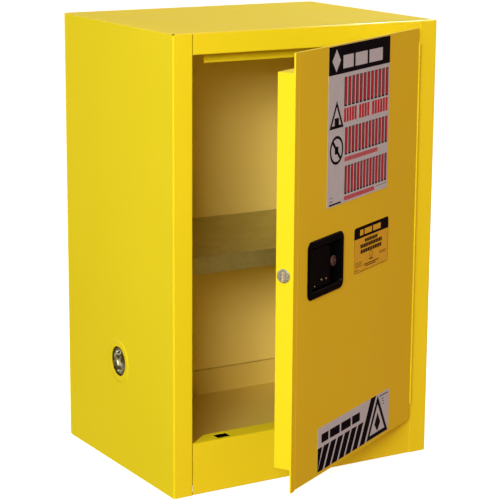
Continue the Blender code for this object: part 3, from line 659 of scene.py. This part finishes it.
def shell():
    """All the bent sheet of the cabinet."""
    for side, word in ((-1, "left"), (1, "right")):
        wall(side, word)
        dressed("inner_side_" + word)
    top_cover()
    for cad_node in ("front_apron", "outer_back", "base_pan", "inner_top"):
        dressed(cad_node)
    dressed("shelf", edge=0.0005)
    low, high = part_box("sump_pan")
    seam = box_mesh((low.x + 0.004, high.y, high.z + 0.0001),
                    (high.x - 0.004, high.y + 0.004, high.z + 0.0012))
    dressed("inner_back", cutters=(seam,))
    dip_near, dip_far, dip = 0.176, 0.256, 0.018
    front, rise = (low.y - 0.001, low.y + 0.0025), (high.z - dip, high.z + 0.001)
    dressed("sump_pan", cutters=[box_mesh(*zip((-dip_far, -dip_near), front, rise)),
                                 box_mesh(*zip((dip_near, dip_far), front, rise))])
    painted_shade_pockets()


# ---- Vents ----

def vents():
    """The sleeves and the dished plugs in them, each with the eye that it is pulled by."""
    for side, word in ((-1, "left"), (1, "right")):
        low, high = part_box("vent_plug_" + word)
        centre = Vector((0.0, *middle_of(low, high).yz))
        out = Vector((side, 0, 0))
        rim = max(abs(low.x), abs(high.x))
        floor = rim - 0.0145
        inner = SIDE - 0.0411
        bore, tube, flange = 0.0270, 0.0296, 0.0336
        sleeve = [(0.0292, SIDE - 0.0004), (tube, SIDE - 0.0009), (tube, inner), (flange, inner),
                  (flange, inner - 0.0015), (bore, inner - 0.0015), (bore, SIDE - 0.0009),
                  (0.0276, SIDE - 0.0004)]
        made = loose(f"vent_sleeve_{word}_finished", turned_mesh(sleeve, centre, out, 72))
        # The sleeve is near black: painted shade round the plug
        finish(made, SLEEVE_PAINTED_SHADE, "cabinet", "vent_sleeve_" + word)
        radius, deep, steps, skirt = 0.0245, 0.0120, 14, 0.0266
        dish = [(radius * math.sin(turn), floor + deep * (1 - math.cos(turn)))
                for turn in (math.pi / 2 * i / steps for i in range(steps + 1))]
        cup = dish + [(0.0247, rim - 0.0006), (0.0251, rim), (0.0262, rim), (skirt, rim - 0.0005),
                      (skirt, floor - 0.002), (0.0, floor - 0.002)]
        made = loose(f"vent_plug_{word}_finished", turned_mesh(cup, centre, out, 72, ring=False))
        finish(made, ZINC, "vent_plug_" + word, "vent_plug_" + word)
        eye = centre + Vector((side * (rim - 0.0040), 0.0100, 0.0150))
        eye_radius, wire = 0.0044, 0.0014
        made = loose(f"vent_eye_{word}", torus_mesh(eye, eye_radius, wire))
        finish(made, BRIGHT_PLATE, "vent_plug_" + word)


def torus_mesh(centre, radius, wire, around=32, sides=12):
    """A ring of round wire that faces the front."""
    mesh = bmesh.new()
    rings = []
    for i in range(around):
        turn = 2 * math.pi * i / around
        out = Vector((math.cos(turn), 0, math.sin(turn)))
        section = (2 * math.pi * j / sides for j in range(sides))
        rings.append([mesh.verts.new(centre + out * (radius + wire * math.cos(a))
                                     + Vector((0, wire * math.sin(a), 0))) for a in section])
    skin(mesh, rings + rings[:1])
    bmesh.ops.recalc_face_normals(mesh, faces=mesh.faces)
    return mesh


# ---- Hinge ----

def hinge():
    """Both leaves with knuckles at the fine pitch of a real piano hinge."""
    low, high = door_box("hinge_door_leaf")
    radius, bore, soft = 0.0033, 0.0018, 0.0004
    leaf_start, knuckle_end = 0.0042, 0.0045
    count = 58
    pitch = (high.z - low.z) / count
    for name, side, first, body in (("hinge_frame_leaf", 1, 1, "cabinet"),
                                    ("hinge_door_leaf", -1, 0, "door")):
        x = sorted((side * (radius - SHEET), side * radius))
        meshes = [box_mesh((x[0], leaf_start, low.z), (x[1], high.y, high.z))]
        for index in range(first, count, 2):
            bottom = low.z + index * pitch + HAIR / 2
            top = low.z + (index + 1) * pitch - HAIR / 2
            meshes.append(box_mesh((x[0], 0.0, bottom), (x[1], knuckle_end, top)))
            tube = [(bore, top), (radius - soft, top), (radius, top - soft),
                    (radius, bottom + soft), (radius - soft, bottom), (bore, bottom)]
            meshes.append(turned_mesh(tube, (0, 0, 0), (0, 0, 1), 20))
        matrix = Matrix.Translation(HINGE) if side > 0 else DOOR
        # Brighter enamel on the knuckles: painted highlight
        finish(loose(name + "_finished", joined(*meshes)), HINGE_PAINTED_HIGHLIGHT, body, name, matrix=matrix)


# ---- Door ----

def opened(mesh):
    """A mesh made in the door's frame, moved to where the door stands."""
    bmesh.ops.transform(mesh, matrix=DOOR, verts=mesh.verts)
    return mesh


def door_shell():
    """The skin, with the crease and the tab beside its free edge, and the inner pan with its seam."""
    low, high = door_box("door_skin")
    crease, groove_radius, groove_rise = low.x + 0.0145, 0.0012, 0.0008
    face = low.y - groove_rise
    groove = rod_mesh(groove_radius, (crease, face, low.z - 0.01), (crease, face, high.z + 0.01), 16)
    tab = box_mesh((low.x + 0.0006, low.y + 0.0002, low.z - 0.0016),
                   (crease, high.y - 0.0002, low.z + 0.0008))
    dressed("door_skin", edge=0.0005, cutters=(opened(groove),), extra=opened(tab))
    low, high = door_box("door_inner_pan")
    seam = box_mesh((low.x - 0.001, low.y - 0.001, high.z - 0.0019),
                    (low.x + 0.0009, high.y - 0.002, high.z - 0.0011))
    dressed("door_inner_pan", cutters=(opened(seam),))


# ---- Labels ----

def bar(left, right, low, high):
    """A bar's outline; left and right are distances from the hinge."""
    return [(-left, low), (-right, low), (-right, high), (-left, high)]


def slanted(left, right, low, high, slope):
    """A bar leaning to the right as it rises; left and right are where its top ends."""
    lean = slope * (high - low)
    return [(-left - lean, low), (-right - lean, low), (-right, high), (-left, high)]


def frame_mesh(outer, inner, front, back):
    """A flat band between two outlines of the same count."""
    rings = [[(x, y, z) for x, z in outline] for outline, y in
             ((outer, back), (outer, front), (inner, front), (inner, back), (outer, back))]
    mesh = bmesh.new()
    skin(mesh, [[mesh.verts.new(point) for point in ring] for ring in rings])
    bmesh.ops.remove_doubles(mesh, verts=mesh.verts, dist=1e-7)
    bmesh.ops.recalc_face_normals(mesh, faces=mesh.faces)
    return mesh


def scaled(outline, factor):
    """An outline shrunk towards its middle."""
    x = sum(point[0] for point in outline) / len(outline)
    z = sum(point[1] for point in outline) / len(outline)
    return [(x + (a - x) * factor, z + (b - z) * factor) for a, b in outline]


def circle(across, z, radius, sides=48):
    """A round outline whose middle stands a distance across from the hinge."""
    turns = [2 * math.pi * i / sides for i in range(sides)]
    return [(-across + radius * math.cos(turn), z + radius * math.sin(turn)) for turn in turns]


def label(name, paper, radius, prints):
    """A thin plate and its printing; prints holds (word, ink, outlines, bands), lowest layer first."""
    low, high = door_box(name)
    outline = rounded_outline((low.x, low.z), (high.x, high.z), [radius] * 4)
    on_door(name + "_plate", plate_mesh(outline, low.y, high.y), paper, name)
    for layer, (word, ink, outlines, bands) in enumerate(prints):
        front, back = low.y - PRINT_LAYER * (layer + 1), low.y + PRINT_ROOT
        meshes = [plate_mesh(outline, front, back) for outline in outlines]
        meshes += [frame_mesh(outer, inner, front, back) for outer, inner in bands]
        on_door(f"{name}_{word}", joined(*meshes), ink)


def strokes(left, right, middle, tall, count, fill):
    """A row of even upright bars that fill part of their pitch."""
    pitch = (left - right) / count
    return [bar(left - pitch * (i + 0.5 - fill / 2), left - pitch * (i + 0.5 + fill / 2),
                middle - tall / 2, middle + tall / 2) for i in range(count)]


def upper_label():
    """A dark header over a pale field with rows of plain bars, a triangle and a ring."""
    low, high = door_box("upper_label")
    far, near, top = -low.x, -high.x, high.z
    shades, bars = [], []
    edge = 0.139
    for left, middle, tall, count in ((0.326, 0.7870, 0.0535, 12), (0.320, 0.6955, 0.0505, 13),
                                      (0.319, 0.6228, 0.0530, 14)):
        shades += strokes(left, edge, middle, tall, count, 0.70)
        bars += strokes(left - 0.0006, edge - 0.0006, middle + 0.0008, tall - 0.004, count, 0.46)
    for left, right, count in ((0.325, 0.272, 5), (0.264, 0.219, 4), (0.210, 0.141, 6)):
        bars += strokes(left, right, 0.7440, 0.0255, count, 0.74)
    for left, right, middle in ((0.319, 0.181, 0.6618), (0.319, 0.1925, 0.5888)):
        bars += strokes(left, right, middle, 0.0080, 34, 0.72)
    triangle = [(-0.3808, 0.7235), (-0.3247, 0.7235), (-0.3527, 0.7740)]
    ring = [circle(0.351, 0.6834, radius) for radius in (0.0264, 0.0212)]
    slash = [(-0.3705, 0.6998), (-0.3661, 0.7042), (-0.3315, 0.6670), (-0.3359, 0.6626)]
    notes = [bar(0.3765, 0.363, 0.5970, 0.5980), bar(0.3765, 0.363, 0.5902, 0.5912),
             bar(0.3775, 0.330, 0.5830, 0.5862), bar(0.184, 0.138, 0.5906, 0.5914)]
    small = [bar(0.3605, 0.3440, 0.7285, 0.7425), bar(0.3580, 0.3440, 0.6760, 0.6900)]
    label("upper_label", PAPER, 0.002, (
        ("header", INK, [bar(far, near, top - 0.0515, top - 0.0002)], []),
        ("signs", INK, notes + small + [slash], [(triangle, scaled(triangle, 0.67)), ring]),
        ("shades", INK, shades, []),
        ("bars", RED_INK, bars, [])))
    marks = [bar(left, right, 0.8300, 0.8540) for left, right in
             ((0.330, 0.289), (0.281, 0.232), (0.224, 0.168))]
    marks.append([(-0.3565, 0.8260), (-0.3400, 0.8465), (-0.3565, 0.8670), (-0.3730, 0.8465)])
    band_marks("upper_label_header_marks", marks, low.y, PAPER)


def band_marks(name, outlines, face, paper):
    """Marks in the plate's own colour, standing over its dark band."""
    meshes = [plate_mesh(outline, face - MARK_RISE, face) for outline in outlines]
    on_door(name, joined(*meshes), paper)


def side_label():
    """A small yellow plate with a dark band, a thin outline and rows of plain bars."""
    low, high = door_box("side_label")
    border = [rounded_outline((low.x + inset, low.z + inset), (high.x - inset, high.z - inset),
                              [radius] * 4) for inset, radius in ((0.0008, 0.0052), (0.0015, 0.0045))]
    corner, square = 0.006, 0.0001
    band = rounded_outline((low.x, 0.5005), (high.x, high.z - 0.0002),
                           [corner, corner, square, square])
    rows = []
    for left, right, middle, tall, count in ((0.2275, 0.1725, 0.4932, 0.0066, 8),
                                             (0.246, 0.153, 0.4838, 0.0074, 13),
                                             (0.245, 0.155, 0.4734, 0.0074, 12)):
        rows += strokes(left, right, middle, tall, count, 0.82)
    rows += [bar(0.266, 0.238, z, z + 0.0010) for z in (0.4465, 0.4500, 0.4535)]
    rows += [bar(0.163, 0.135, z, z + 0.0010) for z in (0.4560, 0.4590)]
    rows += [bar(0.207, 0.192, 0.4520, 0.4545), bar(0.231, 0.166, 0.4455, 0.4472),
             bar(0.222, 0.180, 0.4418, 0.4435), bar(0.267, 0.250, 0.4395, 0.4403)]
    ring = [circle(0.199, 0.4625, radius) for radius in (0.0062, 0.0052)]
    label("side_label", YELLOW_PAPER, corner, (
        ("band", INK, [band], []),
        ("bars", INK, rows, [border, ring])))
    marks = [bar(left, right, 0.5055, 0.5165)
             for left, right in ((0.248, 0.234), (0.229, 0.198), (0.193, 0.160))]
    band_marks("side_label_band_marks", marks, low.y, YELLOW_PAPER)


def lower_label():
    """A pale strip with slanted dark stripes, a row of bars and a heavy triangle."""
    low, high = door_box("lower_label")
    far, bottom, top = -low.x, low.z, high.z
    first, tall, pitch, width, slope = 0.3883, 0.0460, 0.0287, 0.0222, 0.562
    stripes = []
    for index in range(7):
        near = first - index * pitch
        stripe = slanted(near + width, near, bottom, bottom + tall, slope)
        stripes.append([(max(x, -far), z) for x, z in stripe])
    stripes.append(slanted(0.1852, 0.1624, bottom, top, slope))
    triangle = [(-0.2020, bottom + 0.0005), (-0.1082, bottom + 0.0005), (-0.1551, top - 0.0020)]
    inside = [(-0.1885, bottom + 0.0085), (-0.1217, bottom + 0.0085), (-0.1551, bottom + 0.0660)]
    lozenge = [(-0.1545, bottom + 0.0100), (-0.1415, bottom + 0.0260), (-0.1545, bottom + 0.0480),
               (-0.1675, bottom + 0.0260)]
    small = [bar(0.147, 0.111, top - 0.0068, top - 0.0048)]
    small += [bar(0.1405 - down / 3, 0.1335 - down / 3, top - down, top - down + 0.0016)
              for down in (0.014, 0.020, 0.026)]
    words = [bar(left, right, 0.1375, 0.1545) for left, right in
             ((0.392, 0.364), (0.358, 0.318), (0.312, 0.272), (0.266, 0.233))]
    label("lower_label", PAPER, 0.0015, (
        ("stripes", INK, stripes, []),
        ("marks", INK, words + small + [lozenge], [(triangle, inside)])))


# ---- Handle, lock and latch ----

def handle():
    """The dish with its rolled bezel and drafted pocket, its screw, and the paddle."""
    low, high = door_box("handle_dish")
    front, back = low.y, door_box("door_skin")[0].y - HAIR
    cup = high.y

    def ring(inset, depth, radius):
        outline = rounded_outline((low.x + inset, low.z + inset), (high.x - inset, high.z - inset),
                                  [radius] * 4, 8)
        return [(x, depth, z) for x, z in outline]
    rings = [ring(0.0165, cup - 0.0020, 0.0035), ring(0.0152, cup - 0.0030, 0.0045),
             ring(0.0146, front + 0.0022, 0.0050), ring(0.0134, front + 0.0006, 0.0060),
             ring(0.0118, front, 0.0070), ring(0.0034, front, 0.0116),
             ring(0.0016, front + 0.0005, 0.0126), ring(0.0003, front + 0.0018, 0.0134),
             ring(0.0, back, 0.0136), ring(0.0125, back, 0.0070),
             ring(0.0128, cup - 0.0008, 0.0060), ring(0.0135, cup, 0.0055)]
    dish = loose("handle_dish_finished", loft_mesh(rings))
    tail = Vector((PADDLE_AXIS_X, cup, TAIL_Z))
    cut(dish, box_mesh(tail - Vector((0.0045, 0.006, 0.006)), tail + Vector((0.018, 0.006, 0.006))))
    finish(dish, BLACK, "door", "handle_dish", matrix=DOOR)
    screw = high.x - 0.0125, front, low.z + 0.0165
    on_door("bezel_screw", turned_mesh(dome(0.0016, 0.0008), screw, OUT_OF_DOOR, 20, ring=False),
            BRONZE)
    paddle()


def dome(radius, rise):
    """The profile of a low round head, from its crown to its underside."""
    steps, sunk = 5, -0.0004
    arc = [(radius * math.sin(turn), rise * math.cos(turn))
           for turn in (math.pi / 2 * i / steps for i in range(steps + 1))]
    return arc + [(radius, sunk), (0.0, sunk)]


def paddle():
    """The paddle plate with one large rounded corner, its ear, barrel, tail and lip, and its rivets."""
    low, high = door_box("paddle")
    axis_x, axis_y = PADDLE_AXIS_X, PADDLE_AXIS_Y
    face, back = low.y, low.y + 0.0025
    corners = [0.0155, 0.004, 0.004, 0.006]
    ear_low, ear_high = 0.458, 0.5085

    def ring(inset, depth):
        outline = rounded_outline((axis_x + HAIR + inset, low.z + inset),
                                  (high.x - inset, high.z - inset),
                                  [max(radius - inset, 0.001) for radius in corners], 8)
        return [(x, depth, z) for x, z in outline]
    plate = loft_mesh([ring(0.0026, face + 0.0005), ring(0.0019, face + 0.0001), ring(0.0011, face),
                       ring(0.0004, face + 0.0003), ring(0.0, face + 0.0010), ring(0.0, back),
                       ring(0.0006, back)])
    ear = box_mesh((axis_x - 0.0008, back - 0.0005, ear_low), (axis_x + 0.0034, axis_y, ear_high))
    barrel = rod_mesh(0.0036, (axis_x, axis_y, ear_low), (axis_x, axis_y, ear_high), 24)
    tail = box_mesh((axis_x - 0.0025, axis_y - 0.001, TAIL_Z - 0.004),
                    (axis_x + 0.0025, high.y, TAIL_Z + 0.004))
    lip = box_mesh((high.x - 0.0025, face + 0.0008, low.z + 0.014),
                   (high.x - 0.0004, axis_y + 0.003, high.z - 0.018))
    on_door("paddle_finished", joined(plate, ear, barrel, tail, lip), BLACK, "paddle", body="paddle")
    rivets = [turned_mesh(dome(radius, 0.0011), (-across, face, z), OUT_OF_DOOR, 20, ring=False)
              for across, z, radius in ((0.3990, 0.4520, 0.0021), (0.3812, 0.4508, 0.0019),
                                        (0.4262, 0.4446, 0.0014))]
    on_door("paddle_rivets", joined(*rivets), GALVANISED, body="paddle")


def lock():
    """The lock's body with its chamfered rim, and the plug with its keyway."""
    low, high = door_box("lock_body")
    x, z, floor, face = (low.x + high.x) / 2, (low.z + high.z) / 2, high.y, low.y
    root = x, floor, z
    tall = floor - face
    rim = [(0.0086, tall), (0.0098, tall - 0.0004), (0.0106, tall - 0.0016), (0.0108, tall - 0.0030),
           (0.0108, 0.0), (0.0072, 0.0), (0.0072, tall - 0.0004), (0.0078, tall)]
    on_door("lock_body_finished", turned_mesh(rim, root, OUT_OF_DOOR), BRONZE, "lock_body")
    top = tall - 0.0010
    core = [(0.0, top), (0.0058, top), (0.0066, tall - 0.0018), (0.0066, -0.006), (0.0, -0.006)]
    plug = loose("lock_plug_finished", turned_mesh(core, root, OUT_OF_DOOR, 40, ring=False))
    cut(plug, box_mesh((x - 0.0011, face - 0.002, z - 0.0044), (x + 0.0011, face + 0.005, z + 0.0044)))
    finish(plug, BRONZE, "lock", "lock_plug", matrix=DOOR)


def latch():
    """The centre bolt in its collar, and the upright bolts in their bushes."""
    low, high = door_box("latch_collar")
    proud = 0.0026
    edge = Vector((low.x + proud, *middle_of(low, high).yz))
    profile = [(0.0, proud), (0.0119, proud), (0.0126, 0.0022), (0.0130, 0.0014), (0.0130, HAIR),
               (0.0112, HAIR), (0.0112, -0.010), (0.0, -0.010)]
    collar = loose("latch_collar_finished", turned_mesh(profile, edge, (-1, 0, 0), ring=False))
    half = Vector((0.02, 0.0047, 0.0095))
    cut(collar, box_mesh(edge - half, edge + half))
    finish(collar, NICKEL, "door", "latch_collar", matrix=DOOR)
    dressed("centre_bolt", edge=0.0005)
    for word, end in (("upper", 1), ("lower", -1)):
        low, high = door_box(word + "_bush")
        deep = 0.007
        base = middle_of(low, high)
        base.z = low.z + deep if end > 0 else high.z - deep
        bush = [(0.0105, 0.0018), (0.0117, 0.0013), (0.0120, HAIR), (0.0095, HAIR), (0.0095, -deep),
                (0.0074, -deep), (0.0074, 0.0010), (0.0080, 0.0018)]
        on_door(word + "_bush_finished", turned_mesh(bush, base, (0, 0, end)), ZINC, word + "_bush")


# ---- Scene ----

def surround():
    """A warm surround, dark underfoot, green to the left, red to the right and paler behind."""
    world = bpy.data.worlds.new("surround")
    bpy.context.scene.world = world
    world.use_nodes = True
    tree = world.node_tree
    way_in = node(tree, "TexCoord").outputs["Generated"]
    way = node(tree, "SeparateXYZ", {"Vector": way_in})
    height, across = (
        node(tree, "MapRange", {"Value": way.outputs[axis], "From Min": -1.0, "From Max": 1.0})
        for axis in "ZX")
    tone = ramp(tree, height.outputs["Result"],
                (0.27, (0.16, 0.09, 0.07)), (0.36, (0.50, 0.255, 0.19)),
                (0.48, (0.50, 0.26, 0.20)), (0.56, (0.36, 0.275, 0.25)))
    tint = ramp(tree, across.outputs["Result"], (0.20, (0.42, 0.50, 0.28)),
                (0.50, (1.0, 0.82, 0.68)), (0.80, (0.48, 0.33, 0.37)))
    both = node(tree, "VectorMath", {0: tone, 1: tint}, operation='MULTIPLY')
    behind = node(tree, "VectorMath", {0: way_in, 1: (0.6, 0.8, 0.0)}, operation='DOT_PRODUCT')
    pale = ramp(tree, behind.outputs["Value"], (0.66, (0.0, 0.0, 0.0)), (0.90, (0.26, 0.29, 0.26)))
    mixed = node(tree, "VectorMath", {0: both.outputs["Vector"], 1: pale}, operation='MAXIMUM')
    background = tree.nodes["Background"]
    tree.links.new(mixed.outputs["Vector"], background.inputs["Color"])
    background.inputs["Strength"].default_value = SURROUND_STRENGTH


def studio():
    """A pale floor, soft light from the front left, the side and above, and the surround."""
    mesh = bmesh.new()
    bmesh.ops.create_grid(mesh, x_segments=1, y_segments=1, size=FLOOR_REACH)
    floor = loose("floor", mesh)
    made, tree, shader = material("pale_floor", Roughness=0.9)
    tone = ramp(tree, noise(tree, place(tree), 0.8), (0.3, [0.90] * 3), (0.7, [0.93] * 3))
    tree.links.new(tone, shader.inputs["Base Color"])
    tree.links.new(tone, shader.inputs["Emission Color"])
    shader.inputs["Emission Strength"].default_value = FLOOR_GLOW
    floor.data.materials.append(made)
    floor.visible_diffuse = False
    floor.visible_glossy = False
    surround()
    for name, at, aim, size, power, tint in LAMPS:
        data = bpy.data.lights.new(name, 'AREA')
        data.shape = 'SQUARE'
        data.size = size
        data.energy = power
        data.color = tint
        lamp = bpy.data.objects.new(name, data)
        lamp.location = at
        lamp.rotation_mode = 'QUATERNION'
        lamp.rotation_quaternion = (Vector(aim) - Vector(at)).to_track_quat('-Z', 'Y')
        lamp.visible_glossy = name != "fill_light"
        bpy.context.scene.collection.objects.link(lamp)
    bpy.context.scene.view_settings.view_transform = 'Standard'


camera()
shell()
vents()
hinge()
door_shell()
upper_label()
side_label()
lower_label()
handle()
lock()
latch()
for cad_node, part in frame["nodes"].items():
    part.data.materials.clear()
    part.data.materials.append(finish_of(cad_node))
studio()
